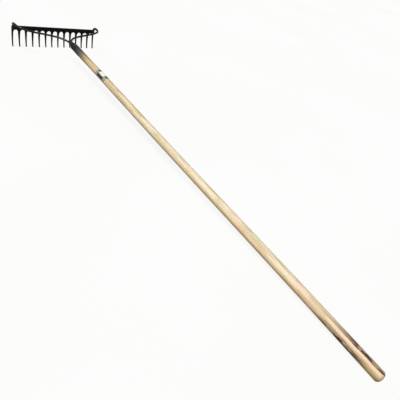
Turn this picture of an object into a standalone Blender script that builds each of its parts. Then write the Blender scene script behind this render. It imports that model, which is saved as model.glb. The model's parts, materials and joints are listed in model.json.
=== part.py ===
"""A steel bow rake on a long wooden pole, lying on level ground on its tine tips and its butt.

Two frames carry the pieces. In the head frame X runs along the head bar, Z runs up the tines from
the line of their tips, and Y points away from the pole. In the pole frame Z runs along the pole's
axis towards the butt, X is the head's X, and Y points up. Lengths are in metres.
"""

import math

import bmesh
import bpy
from mathutils import Vector

MM = 0.001
GAP = 0.3 * MM                  # clearance between two pieces that touch
MERGE = 0.01 * MM               # vertices closer than this are one

# Head: tines and bar cut from one plate, with round gullets between the tines.
TINE_COUNT = 14
TINE_PITCH = 27.0 * MM
HEAD_HEIGHT = 82.0 * MM         # tine tips to the bar's top edge
BAR_THICKNESS = 5.0 * MM
BAR_LEAN = 0.074                # how far the bar's flat leans towards the pole, for each unit of height
ROOT_HEIGHT = 57.0 * MM         # where the tines end and the gullets' round crowns begin
ROOT_WIDTH = 8.4 * MM
TIP_WIDTH = 4.2 * MM
TIP_THICKNESS = 4.4 * MM
HEAD_WIDTH = 355.6 * MM         # 14 inches from one end of the bar to the other
CORNER_RADIUS = 3.0 * MM        # round upper corners of the bar
TAPER_POWER = 1.6               # above 1 the tine widens mostly near its root
TINE_LEVELS = 6                 # cross-sections along a tine
GULLET_STEPS = 8                # segments in a gullet's half circle
TIP_STEPS = 4                   # segments in a tine tip's half circle
CORNER_STEPS = 3                # segments in a corner's quarter circle

# Bow: two round rods, welded behind the ends of the bar, whose other ends are tangs in the pole.
ROD_RADIUS = 3.7 * MM
ROD_X = 172.8 * MM              # centre of each rod where it is welded to the bar
LAP_BOTTOM = 66.0 * MM          # height of the rod's cut end behind the bar
LAP_TOP = 80.0 * MM             # where the rod starts to bend back
BOW_POINTS = [                  # right rod, corner to neck: head-frame millimetres, share of thickness
    (173.1, -7.2, 85.1, 1.1),
    (174.8, -11.2, 90.1, 1.25),
    (175.9, -18.2, 93.5, 1.4),
    (175.8, -26.9, 93.9, 1.35),
    (173.2, -40.9, 92.5, 1.15),
    (168.0, -53.2, 90.6, 1.05),
    (160.0, -63.8, 88.1, 1.0),
    (145.0, -70.3, 84.7, 1.0),
    (120.0, -77.3, 80.9, 1.0),
    (80.0, -90.5, 77.8, 1.0),
    (45.0, -103.8, 74.6, 1.0),
    (28.0, -113.6, 72.4, 1.05),
    (15.0, -127.0, 70.0, 1.1),
    (6.9, -137.6, 67.6, 1.05),
]
BOW_STEPS = 3                   # segments between two points of the bow
CORNER_BASE = 88.0              # millimetres: above this height each side has its own share of rise
CORNER_RISE = {"left": 1.0, "right": 0.5}  # the rods are bent by hand, the left one a little higher
TANG_X = 4.0 * MM               # the two rods run side by side at this distance from the axis
TANG_START = 43.0 * MM          # distances along the pole frame's Z
TANG_FULL_END = 80.0 * MM       # the tang keeps the rod's thickness up to here
TANG_END = 165.0 * MM
TANG_TIP_SHARE = 0.6            # thickness of the tang's end as a share of the rod's
SLOT_OVERCUT = 4.0 * MM         # the slot's cutter starts this far in front of the wood
SLOT_END_PLAY = 1.0 * MM        # free depth behind the tangs
SLOT_STEPS = 10                 # segments in each round end of the slot

# Welds.
SIDE_WELD_RADIUS = 1.6 * MM     # a bead along each side of each rod, where it lies on the bar
SIDE_WELD_BOTTOM = 67.5 * MM
SIDE_WELD_TOP = 81.0 * MM
NECK_WELD_RADIUS = 1.8 * MM     # beads in the grooves above and below the two rods
NECK_WELD_START = 34.0 * MM
NECK_WELD_END = 60.0 * MM
WELD_END_SHARE = 0.55           # thickness of a bead's ends as a share of its middle
WELD_FADE = 0.12                # share of a bead's length in which each end thins out

# Pole: its frame starts at POLE_ORIGIN in the head frame, and it dips by POLE_DIP below the Y axis.
POLE_ORIGIN = Vector((0.0, -103.8, 72.2)) * MM
POLE_DIP = math.radians(8.55)
POLE_FRONT = 80.0 * MM          # front end of the wood, inside the ferrule
POLE_END = 1615.8 * MM          # tip of the domed butt
POLE_FRONT_RADIUS = 13.4 * MM
POLE_BUTT_RADIUS = 14.6 * MM
BUTT_DOME = 9.0 * MM
BUTT_DOME_STEPS = 6
TENON_CHAMFER = 1.0 * MM
POLE_SIDES = 32

# Ferrule: a strip rolled round the pole's end, with an open seam underneath.
FERRULE_FRONT = 48.0 * MM
FERRULE_NOSE_END = 71.5 * MM    # behind this the narrow nose widens
FERRULE_SHOULDER = 77.0 * MM
FERRULE_REAR = 131.0 * MM
FERRULE_RADIUS = 14.1 * MM
FERRULE_NOSE_RADIUS = 9.3 * MM
FERRULE_WALL = 1.2 * MM
FERRULE_CROWN = 0.9 * MM        # how far the widening part bulges out, half way along
FERRULE_SEAM = math.radians(4.0)

# Nail that keeps the ferrule on the wood.
NAIL_DISTANCE = 94.0 * MM
NAIL_HEAD_RADIUS = 3.2 * MM
NAIL_HEAD_HEIGHT = 1.4 * MM
NAIL_SHANK_RADIUS = 1.2 * MM
NAIL_TIP_DEPTH = 7.0 * MM       # how far the nail's tip stays from the pole's axis
NAIL_POINT = 2.0 * MM           # length of the nail's pointed end
NAIL_SIDES = 16
NAIL_DOME_STEPS = 4

# Label: a thin sheet wrapped part of the way round the pole.
LABEL_START = 290.0 * MM
LABEL_LENGTH = 68.0 * MM
LABEL_WRAP = math.radians(205.0)
LABEL_MIDDLE = math.radians(85.0)  # angle of the label's middle, up from the X axis
LABEL_THICKNESS = 0.3 * MM
LABEL_SIDES = 20

GULLET_RADIUS = (TINE_PITCH - ROOT_WIDTH) / 2
TENON_RADIUS = FERRULE_RADIUS - FERRULE_WALL - GAP


def clear_scene():
    for obj in list(bpy.data.objects):
        bpy.data.objects.remove(obj, do_unlink=True)


def new_collection(name):
    collection = bpy.data.collections.new(name)
    bpy.context.scene.collection.children.link(collection)
    return collection


def principled(name, colour, roughness, metallic):
    material = bpy.data.materials.new(name)
    material.use_nodes = True
    shader = material.node_tree.nodes["Principled BSDF"]
    shader.inputs["Base Color"].default_value = (*colour, 1.0)
    shader.inputs["Roughness"].default_value = roughness
    shader.inputs["Metallic"].default_value = metallic
    return material


def place(name, data, collection, parent, material=None):
    """Add an object with this data under a parent frame."""
    obj = bpy.data.objects.new(name, data)
    collection.objects.link(obj)
    obj.parent = parent
    if material is not None:
        data.materials.append(material)
    return obj


def frame(name, collection, parent, location, tilt):
    """An empty turned about X by the tilt."""
    empty = place(name, None, collection, parent)
    empty.location = location
    empty.rotation_euler = (tilt, 0.0, 0.0)
    return empty


def make_cutter(obj):
    obj.hide_render = True
    obj.display_type = "WIRE"


def cut(obj, cutter):
    boolean = obj.modifiers.new("cut_" + cutter.name, "BOOLEAN")
    boolean.operation = "DIFFERENCE"
    boolean.solver = "EXACT"
    boolean.object = cutter


def arc(centre_x, centre_y, radius, start, stop, steps):
    """Points of an arc in a plane, from one angle in degrees to another, with both ends."""
    points = []
    for step in range(steps + 1):
        angle = math.radians(start + (stop - start) * step / steps)
        points.append((centre_x + radius * math.cos(angle), centre_y + radius * math.sin(angle)))
    return points


def flat_outline(name, points, thickness, collection, parent, material=None):
    """A filled outline in its own XY plane, made a mesh with welded caps."""
    curve = bpy.data.curves.new(name, "CURVE")
    curve.dimensions = "2D"
    curve.fill_mode = "BOTH"
    curve.extrude = thickness / 2
    spline = curve.splines.new("POLY")
    spline.points.add(len(points) - 1)
    for point, (x, y) in zip(spline.points, points):
        point.co = (x, y, 0.0, 1.0)
    spline.use_cyclic_u = True
    outline = place(name + "_outline", curve, collection, parent)
    depsgraph = bpy.context.evaluated_depsgraph_get()
    mesh = bpy.data.meshes.new_from_object(outline.evaluated_get(depsgraph))
    bpy.data.objects.remove(outline, do_unlink=True)
    edit = bmesh.new()
    edit.from_mesh(mesh)
    bmesh.ops.remove_doubles(edit, verts=edit.verts, dist=MERGE)
    edit.to_mesh(mesh)
    edit.free()
    mesh.name = name
    return place(name, mesh, collection, parent, material)


def tube(name, points, radius, shares, collection, parent, material):
    """A round rod through the points, whose thickness is the radius times each point's share."""
    curve = bpy.data.curves.new(name, "CURVE")
    curve.dimensions = "3D"
    curve.bevel_depth = radius
    curve.bevel_resolution = 4
    curve.use_fill_caps = True
    spline = curve.splines.new("POLY")
    spline.points.add(len(points) - 1)
    for point, position, share in zip(spline.points, points, shares):
        point.co = (*position, 1.0)
        point.radius = share
    return place(name, curve, collection, parent, material)


def turned(name, profile, sides, collection, parent, material, sweep=2 * math.pi):
    """A profile of (radius, height) points, swept round Z."""
    mesh = bpy.data.meshes.new(name)
    vertices = [(radius, 0.0, height) for radius, height in profile]
    edges = [(index, index + 1) for index in range(len(profile) - 1)]
    mesh.from_pydata(vertices, edges, [])
    obj = place(name, mesh, collection, parent, material)
    screw = obj.modifiers.new("turn", "SCREW")
    screw.angle = sweep
    screw.steps = sides
    screw.render_steps = sides
    screw.use_merge_vertices = True
    screw.merge_threshold = MERGE
    screw.use_smooth_shade = True
    return obj


def smooth_path(points, steps):
    """Centripetal Catmull-Rom curve from the second point to the last but one."""
    path = []
    for first, start, end, last in zip(points, points[1:], points[2:], points[3:]):
        run_in = math.sqrt((start - first).length)
        span = math.sqrt((end - start).length)
        run_out = math.sqrt((last - end).length)
        start_pull = (start - first) / run_in - (end - first) / (run_in + span) + (end - start) / span
        end_pull = (end - start) / span - (last - start) / (span + run_out) + (last - end) / run_out
        for step in range(steps):
            share = step / steps
            blend = share * share * (3 - 2 * share)
            leave = share * (1 - share) ** 2
            arrive = share * share * (share - 1)
            path.append(start + blend * (end - start) + span * (leave * start_pull + arrive * end_pull))
    path.append(points[-2])
    return path


def tine_centre(index):
    return (index - (TINE_COUNT - 1) / 2) * TINE_PITCH


def tine_half_width(height):
    share = (height / ROOT_HEIGHT) ** TAPER_POWER
    return (TIP_WIDTH + (ROOT_WIDTH - TIP_WIDTH) * share) / 2


def plate_middle(height):
    """Y of the plate's middle: straight through the bar, and curved along the tines."""
    if height >= ROOT_HEIGHT:
        return BAR_LEAN * (HEAD_HEIGHT - height)
    share = height / ROOT_HEIGHT
    return BAR_LEAN * (HEAD_HEIGHT * share * (2 - share) - height)


def plate_thickness(height):
    share = min(height / ROOT_HEIGHT, 1.0)
    return TIP_THICKNESS + (BAR_THICKNESS - TIP_THICKNESS) * share


def rod_middle(height):
    """Y of a rod's axis where it lies against the back of the bar."""
    return plate_middle(height) - BAR_THICKNESS / 2 - GAP - ROD_RADIUS


def from_pole(x, up, along):
    """A point of the pole frame, in the head frame."""
    y = POLE_ORIGIN.y - along * math.cos(POLE_DIP) - up * math.sin(POLE_DIP)
    z = POLE_ORIGIN.z - along * math.sin(POLE_DIP) + up * math.cos(POLE_DIP)
    return Vector((x, y, z))


def head_outline(levels):
    """The plate's outline: down and up each tine, over each gullet, and back along the top."""
    points = []
    for index in range(TINE_COUNT):
        centre = tine_centre(index)
        if index > 0:
            gullet = arc(centre - TINE_PITCH / 2, ROOT_HEIGHT, GULLET_RADIUS, 180, 0, GULLET_STEPS)
            points += gullet[1:-1]
        points += [(centre - tine_half_width(height), height) for height in levels]
        points += arc(centre, TIP_WIDTH / 2, TIP_WIDTH / 2, 180, 360, TIP_STEPS)
        points += [(centre + tine_half_width(height), height) for height in reversed(levels)]
    end = HEAD_WIDTH / 2
    points = [(max(-end, min(end, x)), z) for x, z in points]
    corner_x = end - CORNER_RADIUS
    corner_z = HEAD_HEIGHT - CORNER_RADIUS
    points += arc(corner_x, corner_z, CORNER_RADIUS, 0, 90, CORNER_STEPS)
    points += [(-tine_centre(index), HEAD_HEIGHT) for index in range(1, TINE_COUNT - 1)]
    points += arc(-corner_x, corner_z, CORNER_RADIUS, 90, 180, CORNER_STEPS)
    return points


def make_head(collection, parent, material):
    levels = [ROOT_HEIGHT * (1 - step / TINE_LEVELS) for step in range(TINE_LEVELS)]
    head = flat_outline("rake_head", head_outline(levels), BAR_THICKNESS, collection, parent, material)
    edit = bmesh.new()
    edit.from_mesh(head.data)
    for vertex in edit.verts:
        vertex.co = (vertex.co.x, -vertex.co.z, vertex.co.y)
    for height in levels:
        everything = edit.verts[:] + edit.edges[:] + edit.faces[:]
        bmesh.ops.bisect_plane(
            edit, geom=everything, dist=MERGE, plane_co=(0.0, 0.0, height), plane_no=(0.0, 0.0, 1.0))
    for vertex in edit.verts:
        height = vertex.co.z
        vertex.co.y = plate_middle(height) + vertex.co.y * plate_thickness(height) / BAR_THICKNESS
    edit.to_mesh(head.data)
    edit.free()
    return head


def bow_path(corner_rise):
    """The right rod: up the back of the bar, back and inwards along the bow, and into the pole.

    Each point carries the rod's share of thickness as its fourth number.
    """
    lap = [Vector((ROD_X, rod_middle(height), height, 1.0)) for height in (LAP_BOTTOM, LAP_TOP)]
    bow = []
    for x, y, z, share in BOW_POINTS:
        z = min(z, CORNER_BASE) + corner_rise * max(z - CORNER_BASE, 0.0)
        bow.append(Vector((x * MM, y * MM, z * MM, share)))
    tang = [from_pole(TANG_X, 0.0, along).to_4d() for along in (TANG_START, TANG_FULL_END, TANG_END)]
    tang[-1].w = TANG_TIP_SHARE
    return [lap[0], *smooth_path([*lap, *bow, tang[0], tang[1]], BOW_STEPS), *tang[1:]]


def make_rods(collection, parent, material):
    for side, sign in (("left", -1), ("right", 1)):
        path = bow_path(CORNER_RISE[side])
        shares = [point.w for point in path]
        points = [(sign * point.x, point.y, point.z) for point in path]
        tube(side + "_bow_rod", points, ROD_RADIUS, shares, collection, parent, material)


def bead(name, start, end, radius, collection, parent, material):
    """A straight weld bead that thins out at both ends."""
    points = [start.lerp(end, share) for share in (0.0, WELD_FADE, 1.0 - WELD_FADE, 1.0)]
    shares = [WELD_END_SHARE, 1.0, 1.0, WELD_END_SHARE]
    tube(name, points, radius, shares, collection, parent, material)


def make_side_welds(collection, parent, material):
    """Two beads for each rod, in the grooves between the rod and the back of the bar."""
    reach = ROD_RADIUS + GAP + SIDE_WELD_RADIUS
    standing_out = ROD_RADIUS - SIDE_WELD_RADIUS
    offset = math.sqrt(reach ** 2 - standing_out ** 2)
    for side, sign in (("left", -1), ("right", 1)):
        for where, direction in (("inner", -1), ("outer", 1)):
            x = sign * (ROD_X + direction * offset)
            ends = []
            for height in (SIDE_WELD_BOTTOM, SIDE_WELD_TOP):
                y = plate_middle(height) - BAR_THICKNESS / 2 - GAP - SIDE_WELD_RADIUS
                ends.append(Vector((x, y, height)))
            bead(f"{side}_{where}_weld", *ends, SIDE_WELD_RADIUS, collection, parent, material)


def make_neck_welds(collection, parent, material):
    """Beads in the grooves above and below the two rods, from in front of the ferrule into its nose."""
    rise = math.sqrt((ROD_RADIUS + GAP + NECK_WELD_RADIUS) ** 2 - TANG_X ** 2)
    for name, up in (("neck_upper_weld", rise), ("neck_lower_weld", -rise)):
        start = Vector((0.0, up, NECK_WELD_START))
        end = Vector((0.0, up, NECK_WELD_END))
        bead(name, start, end, NECK_WELD_RADIUS, collection, parent, material)


def make_nail_cutter(collection, parent):
    """A round hole on the nail's axis, from outside the ferrule to just past the nail's tip."""
    radius = NAIL_SHANK_RADIUS + GAP
    inner = NAIL_TIP_DEPTH - GAP
    outer = FERRULE_RADIUS + FERRULE_WALL
    profile = [(0.0, outer), (radius, outer), (radius, inner), (0.0, inner)]
    hole = turned("nail_hole", profile, NAIL_SIDES, collection, parent, None)
    aim_along_nail(hole)
    make_cutter(hole)
    return hole


def aim_along_nail(obj):
    """Turn an object's Z axis straight up from the pole's axis."""
    obj.location = (0.0, 0.0, NAIL_DISTANCE)
    obj.rotation_euler = (-math.pi / 2, 0.0, 0.0)


def make_nail(collection, parent, material):
    """Shank and low domed head, turned about the nail's own axis."""
    seat = FERRULE_RADIUS + GAP
    dome = arc(0.0, seat, NAIL_HEAD_RADIUS, 90, 0, NAIL_DOME_STEPS)
    profile = [(radius, seat + (height - seat) * NAIL_HEAD_HEIGHT / NAIL_HEAD_RADIUS)
               for radius, height in dome]
    profile += [(NAIL_SHANK_RADIUS, seat), (NAIL_SHANK_RADIUS, NAIL_TIP_DEPTH + NAIL_POINT)]
    profile.append((0.0, NAIL_TIP_DEPTH))
    nail = turned("ferrule_nail", profile, NAIL_SIDES, collection, parent, material)
    aim_along_nail(nail)
    return nail


def make_tang_cutter(collection, parent):
    """A slot with round ends in the pole's front end, for both tangs."""
    radius = ROD_RADIUS + GAP
    outline = arc(TANG_X, 0.0, radius, -90, 90, SLOT_STEPS)
    outline += arc(-TANG_X, 0.0, radius, 90, 270, SLOT_STEPS)
    front = POLE_FRONT - SLOT_OVERCUT
    length = TANG_END + SLOT_END_PLAY - front
    slot = flat_outline("tang_slot", outline, length, collection, parent)
    slot.location = (0.0, 0.0, front + length / 2)
    make_cutter(slot)
    return slot


def pole_radius(along):
    share = (along - FERRULE_REAR) / (POLE_END - FERRULE_REAR)
    return POLE_FRONT_RADIUS + (POLE_BUTT_RADIUS - POLE_FRONT_RADIUS) * share


def make_pole(collection, parent, material, cutters):
    """The pole from its domed butt to the tenon that fills the ferrule."""
    profile = []
    dome_base = POLE_END - BUTT_DOME
    for radius, rise in arc(0.0, 0.0, 1.0, 90, 0, BUTT_DOME_STEPS):
        profile.append((radius * pole_radius(dome_base), dome_base + rise * BUTT_DOME))
    shoulder = FERRULE_REAR + GAP
    profile += [
        (pole_radius(shoulder), shoulder),
        (TENON_RADIUS, shoulder),
        (TENON_RADIUS, POLE_FRONT + TENON_CHAMFER),
        (TENON_RADIUS - TENON_CHAMFER, POLE_FRONT),
        (0.0, POLE_FRONT),
    ]
    pole = turned("handle", profile, POLE_SIDES, collection, parent, material)
    for cutter in cutters:
        cut(pole, cutter)
    return pole


def make_ferrule(collection, parent, material, cutters):
    """The outer surface turned short of a full circle, then thickened inwards."""
    crown_radius = (FERRULE_RADIUS + FERRULE_NOSE_RADIUS) / 2 + FERRULE_CROWN
    profile = [
        (FERRULE_RADIUS, FERRULE_REAR),
        (FERRULE_RADIUS, FERRULE_SHOULDER),
        (crown_radius, (FERRULE_NOSE_END + FERRULE_SHOULDER) / 2),
        (FERRULE_NOSE_RADIUS, FERRULE_NOSE_END),
        (FERRULE_NOSE_RADIUS, FERRULE_FRONT),
    ]
    sweep = 2 * math.pi - FERRULE_SEAM
    ferrule = turned("ferrule", profile, POLE_SIDES, collection, parent, material, sweep)
    ferrule.rotation_euler.z = -math.pi / 2 + FERRULE_SEAM / 2
    wall = ferrule.modifiers.new("wall", "SOLIDIFY")
    wall.thickness = FERRULE_WALL
    wall.offset = -1.0
    wall.use_even_offset = True
    for cutter in cutters:
        cut(ferrule, cutter)
    return ferrule


def make_label(collection, parent, material):
    """A curved sheet just above the pole's surface."""
    radius = pole_radius(LABEL_START + LABEL_LENGTH) + GAP
    profile = [(radius, LABEL_LENGTH / 2), (radius, -LABEL_LENGTH / 2)]
    label = turned("label", profile, LABEL_SIDES, collection, parent, material, LABEL_WRAP)
    label.location = (0.0, 0.0, LABEL_START + LABEL_LENGTH / 2)
    label.rotation_euler.z = LABEL_MIDDLE - LABEL_WRAP / 2
    sheet = label.modifiers.new("sheet", "SOLIDIFY")
    sheet.thickness = LABEL_THICKNESS
    sheet.offset = 1.0
    return label


def world_vertices(obj):
    evaluated = obj.evaluated_get(bpy.context.evaluated_depsgraph_get())
    mesh = evaluated.to_mesh()
    vertices = [evaluated.matrix_world @ vertex.co for vertex in mesh.vertices]
    evaluated.to_mesh_clear()
    return vertices


def rest_on_floor(root, head, pole):
    """Tilt and move the root until tine tips and butt touch z = 0, centred on x = y = 0."""
    for _ in range(5):
        bpy.context.view_layer.update()
        front = min(world_vertices(head), key=lambda point: point.z)
        rear = min(world_vertices(pole), key=lambda point: point.z)
        root.rotation_euler.x -= math.atan2(front.z - rear.z, front.y - rear.y)
    bpy.context.view_layer.update()
    vertices = world_vertices(head) + world_vertices(pole)
    lengths = [point.y for point in vertices]
    root.location.y -= (min(lengths) + max(lengths)) / 2
    root.location.z -= min(point.z for point in vertices)
    bpy.context.view_layer.update()


def main():
    clear_scene()
    parts = new_collection("rake")
    cutters = new_collection("cutters")

    black_paint = principled("black_painted_steel", (0.012, 0.013, 0.012), 0.38, 0.6)
    weld_metal = principled("painted_weld", (0.016, 0.016, 0.015), 0.5, 0.6)
    ferrule_paint = principled("ferrule_paint", (0.02, 0.019, 0.02), 0.34, 0.7)
    bare_steel = principled("bare_steel", (0.42, 0.4, 0.38), 0.35, 1.0)
    varnished_wood = principled("varnished_wood", (0.74, 0.6, 0.34), 0.42, 0.0)
    label_paper = principled("label_paper", (0.45, 0.44, 0.36), 0.55, 0.0)

    root = frame("rake_frame", parts, None, (0.0, 0.0, 0.0), 0.0)
    pole_frame = frame("pole_frame", parts, root, POLE_ORIGIN, math.pi / 2 + POLE_DIP)

    head = make_head(parts, root, black_paint)
    make_rods(parts, root, black_paint)
    make_side_welds(parts, root, weld_metal)
    make_neck_welds(parts, pole_frame, weld_metal)

    nail_hole = make_nail_cutter(cutters, pole_frame)
    tang_slot = make_tang_cutter(cutters, pole_frame)
    pole = make_pole(parts, pole_frame, varnished_wood, [tang_slot, nail_hole])
    make_ferrule(parts, pole_frame, ferrule_paint, [nail_hole])
    make_nail(parts, pole_frame, bare_steel)
    make_label(parts, pole_frame, label_paper)

    rest_on_floor(root, head, pole)


main()
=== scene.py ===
"""Looks of the steel bow rake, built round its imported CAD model.

Every visible piece is made here in fine detail, in one of two local frames. In the head frame X runs
along the head bar, Z runs up the tines from the line of their tips, and Y points away from the pole.
In the pole frame Z runs along the pole towards its butt, X is the head's X, and Y points up. Lengths
are in metres.
"""

import json
import math

import bmesh
import bpy
from mathutils import Matrix, Vector, noise


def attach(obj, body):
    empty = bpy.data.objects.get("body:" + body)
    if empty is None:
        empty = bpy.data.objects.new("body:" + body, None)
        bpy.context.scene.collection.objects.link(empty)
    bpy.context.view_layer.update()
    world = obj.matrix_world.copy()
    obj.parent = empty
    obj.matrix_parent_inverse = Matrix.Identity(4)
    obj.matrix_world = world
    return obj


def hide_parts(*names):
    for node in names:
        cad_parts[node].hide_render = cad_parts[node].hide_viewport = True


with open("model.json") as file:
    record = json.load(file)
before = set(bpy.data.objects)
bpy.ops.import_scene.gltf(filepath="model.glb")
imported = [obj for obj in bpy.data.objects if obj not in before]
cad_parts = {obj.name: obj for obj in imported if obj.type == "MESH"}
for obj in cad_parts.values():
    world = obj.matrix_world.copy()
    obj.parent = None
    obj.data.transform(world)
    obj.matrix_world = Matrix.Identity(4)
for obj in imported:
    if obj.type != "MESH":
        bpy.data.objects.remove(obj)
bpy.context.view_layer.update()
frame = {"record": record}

MM = 0.001
MERGE = 0.01 * MM  # points closer than this are one point
ACROSS = Vector((1.0, 0.0, 0.0))  # along the head bar

# Head.
TINE_COUNT = 14
TINE_PITCH = 27.0 * MM
HEAD_HEIGHT = 82.0 * MM
HEAD_WIDTH = 355.6 * MM
BAR_THICKNESS = 5.0 * MM
BAR_LEAN = 0.074  # Y that the bar gains for each unit of height that it loses
ROOT_HEIGHT = 57.0 * MM
ROOT_WIDTH = 8.4 * MM
TIP_WIDTH = 4.2 * MM
TIP_THICKNESS = 4.4 * MM
TAPER_POWER = 1.6
GULLET_RADIUS = (TINE_PITCH - ROOT_WIDTH) / 2
TIP_STEPS = 4
FLANK_STEPS = 18
WEB_STEPS = 6  # steps up the bar, from the root line to the top edge
TOP_STEPS = 5  # steps along the top edge, in half a pitch
CORNER_STEPS = 4
EDGE_ROUNDING = 0.75 * MM
EDGE_SEGMENTS = 3
EDGE_ANGLE = math.radians(50.0)
TINE_SWAY = 0.9 * MM  # how far a hand-set tip can wander from its place
SWAY_POWER = 1.6
FORGE_WAVE = 0.12 * MM  # unevenness of the forged faces

# Bow.
ROD_RADIUS = 3.7 * MM
ROD_X = 172.8 * MM
LAP_BOTTOM = 66.0 * MM
LAP_TOP = 80.0 * MM
LAP_GAP = 0.05 * MM
LAP_STEPS = 8
BOW_POINTS = [  # right rod, corner to neck: head-frame millimetres, share of thickness
    (173.1, -7.2, 85.1, 1.1),
    (174.8, -11.2, 90.1, 1.25),
    (175.9, -18.2, 93.5, 1.4),
    (175.8, -26.9, 93.9, 1.35),
    (173.2, -40.9, 92.5, 1.15),
    (168.0, -53.2, 90.6, 1.05),
    (160.0, -63.8, 88.1, 1.0),
    (145.0, -70.3, 84.7, 1.0),
    (120.0, -77.3, 80.9, 1.0),
    (80.0, -90.5, 77.8, 1.0),
    (45.0, -103.8, 74.6, 1.0),
    (28.0, -113.6, 72.4, 1.05),
    (15.0, -127.0, 70.0, 1.1),
    (6.9, -137.6, 67.6, 1.05),
]
BOW_STEPS = 9
CORNER_BASE = 88.0  # millimetres; above it each corner has its own share of the rise
CORNER_RISE = {"left": 1.0, "right": 0.5}
CUT_PLACE = 0.35  # place of the sawn end's rounding, as a share of the first step
CUT_SHARE = 0.86
ROD_SIDES = 28
ROD_WAVE = 0.1 * MM
TANG_X = 4.0 * MM
TANG_START = 43.0 * MM
TANG_FULL_END = 80.0 * MM
TANG_END = 165.0 * MM
TANG_TIP_SHARE = 0.6

# Welds.
WELD_RIPPLE = 1.7 * MM  # length of one ripple
WELD_STEP = 0.24 * MM
WELD_SIDES = 16
WELD_CLEARANCE = 0.3 * MM
WELD_SMOOTH_ANGLE = 60.0
SIDE_WELD_RADIUS = 1.95 * MM
SIDE_WELD_SEAT = 1.6 * MM  # radius of a round bar that would lie in the groove, with its clearance
SIDE_WELD_BOTTOM = 67.5 * MM
SIDE_WELD_TOP = 81.0 * MM
NECK_WELD_RADIUS = 2.2 * MM
NECK_WELD_LIFT = 2.1 * MM  # from the rods' surfaces to the bead's axis
NECK_WELD_START = 34.0 * MM
NECK_WELD_END = 60.0 * MM

# Pole.
POLE_ORIGIN = Vector((0.0, -103.8, 72.2)) * MM
POLE_DIP = math.radians(8.55)
POLE_FRONT = 80.0 * MM
POLE_END = 1615.8 * MM
POLE_FRONT_RADIUS = 13.4 * MM
POLE_BUTT_RADIUS = 14.6 * MM
TENON_RADIUS = 12.75 * MM
TENON_CHAMFER = 1.0 * MM
TENON_RING = 10.0 * MM  # distance of a ring of points from the shoulder
SHOULDER = 131.1 * MM
BUTT_DOME = 9.0 * MM
BUTT_DOME_STEPS = 9
SLOT_CLEARANCE = 0.25 * MM
SLOT_ARC_STEPS = 12
SLOT_FRONT = POLE_FRONT - 4.0 * MM  # the cutter starts in front of the wood
SLOT_END = TANG_END + 1.0 * MM
POLE_SIDES = 56
POLE_STEP = 5.0 * MM
POLE_CROOK = 0.7 * MM  # how far the pole's middle wanders from a straight line
CROOK_WAVES = [(5.2, 0.6, 1.0), (3.9, 2.0, 0.6)]  # sideways, upwards: radians a metre, phase, share
CROOK_START = 140.0 * MM
CROOK_FULL = 350.0 * MM
CROOK_FADE = 250.0 * MM  # length over which the pole runs true again towards the butt
POLE_FLATS = 0.16 * MM  # depth of the long flats that the spokeshave left
POLE_GRAIN = 0.05 * MM
RELIEF_START = 131.0 * MM
RELIEF_FULL = 160.0 * MM
KNOTS = [  # distance along the pole, angle round it, radius: both underneath
    (0.845, math.radians(-40.0), 4.2 * MM),
    (1.24, math.radians(-75.0), 3.2 * MM),
]
KNOT_RISE = 0.35 * MM
KNOT_SQUEEZE = 0.6  # a knot's width as a share of its length

# Ferrule and nail.
FERRULE_FRONT = 48.0 * MM
FERRULE_NOSE_END = 70.5 * MM
FERRULE_SHOULDER = 77.0 * MM
FERRULE_REAR = 131.0 * MM
FERRULE_RADIUS = 14.1 * MM
FERRULE_NOSE_RADIUS = 9.3 * MM
FERRULE_WALL = 1.2 * MM
FERRULE_FLARE = 0.18 * MM
FERRULE_FLARE_LENGTH = 4.0 * MM
FERRULE_SEAM = math.radians(4.0)
FERRULE_SIDES = 88
FERRULE_STEP = 0.9 * MM
FERRULE_EDGE_STEPS = 5
FERRULE_UNEVENNESS = 0.14 * MM
NAIL_DISTANCE = 94.0 * MM
NAIL_HEAD_RADIUS = 3.2 * MM
NAIL_HEAD_HEIGHT = 1.5 * MM
NAIL_SHANK_RADIUS = 1.2 * MM
NAIL_TIP_DEPTH = 7.0 * MM
NAIL_POINT = 2.0 * MM
NAIL_TIP_RADIUS = 0.02 * MM
NAIL_RIM = 0.35 * MM
NAIL_MARKS = 0.12 * MM
NAIL_SIDES = 28
NAIL_DOME_STEPS = 7
NAIL_BITE = 0.1 * MM  # how deep the head's underside bites into the ferrule
NAIL_DIMPLE = 0.5 * MM  # how deep the driven nail pulls the ferrule in
DIMPLE_REACH = 5.0 * MM

# Label.
LABEL_START = 290.0 * MM
LABEL_LENGTH = 68.0 * MM
LABEL_WRAP = math.radians(205.0)
LABEL_MIDDLE = math.radians(85.0)
LABEL_CORNER = 5.0 * MM
LABEL_LIFT = 0.12 * MM
LABEL_THICKNESS = 0.16 * MM
LABEL_PEEL = 0.7 * MM
LABEL_ROWS = 34
LABEL_COLUMNS = 60

# Wood. The lists start with a share of the pole's length: its colour, and the strength of the dark side
# streaks, which are partly painted shade.
WOOD_ALONG = [
    (0.08, (0.70, 0.50, 0.25)),
    (0.15, (0.80, 0.58, 0.34)),
    (0.24, (0.78, 0.65, 0.40)),
    (0.36, (0.88, 0.80, 0.56)),
    (0.44, (0.93, 0.85, 0.64)),
    (0.80, (0.92, 0.81, 0.62)),
    (0.91, (0.86, 0.70, 0.50)),
    (0.98, (0.66, 0.50, 0.33)),
]
# Strength along the pole of the dark streaks on the lower left and the upper right side, which are partly
# painted shade.
LEFT_SHADE_AND_STREAK = [
    (0.16, 0.20), (0.30, 0.14), (0.70, 0.14), (0.89, 0.25), (0.92, 1.0), (0.95, 1.0), (0.985, 0.50)]
RIGHT_SHADE_AND_STREAK = [(0.16, 0.20), (0.28, 0.30), (0.38, 0.12), (0.90, 0.10), (0.925, 0.60), (0.95, 1.0)]
LATE_WOOD = (0.50, 0.34, 0.16)
PINK_WOOD = (0.93, 0.66, 0.50)
OLIVE_WOOD = (0.62, 0.53, 0.25)
ORANGE_WOOD = (0.76, 0.42, 0.18)
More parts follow.
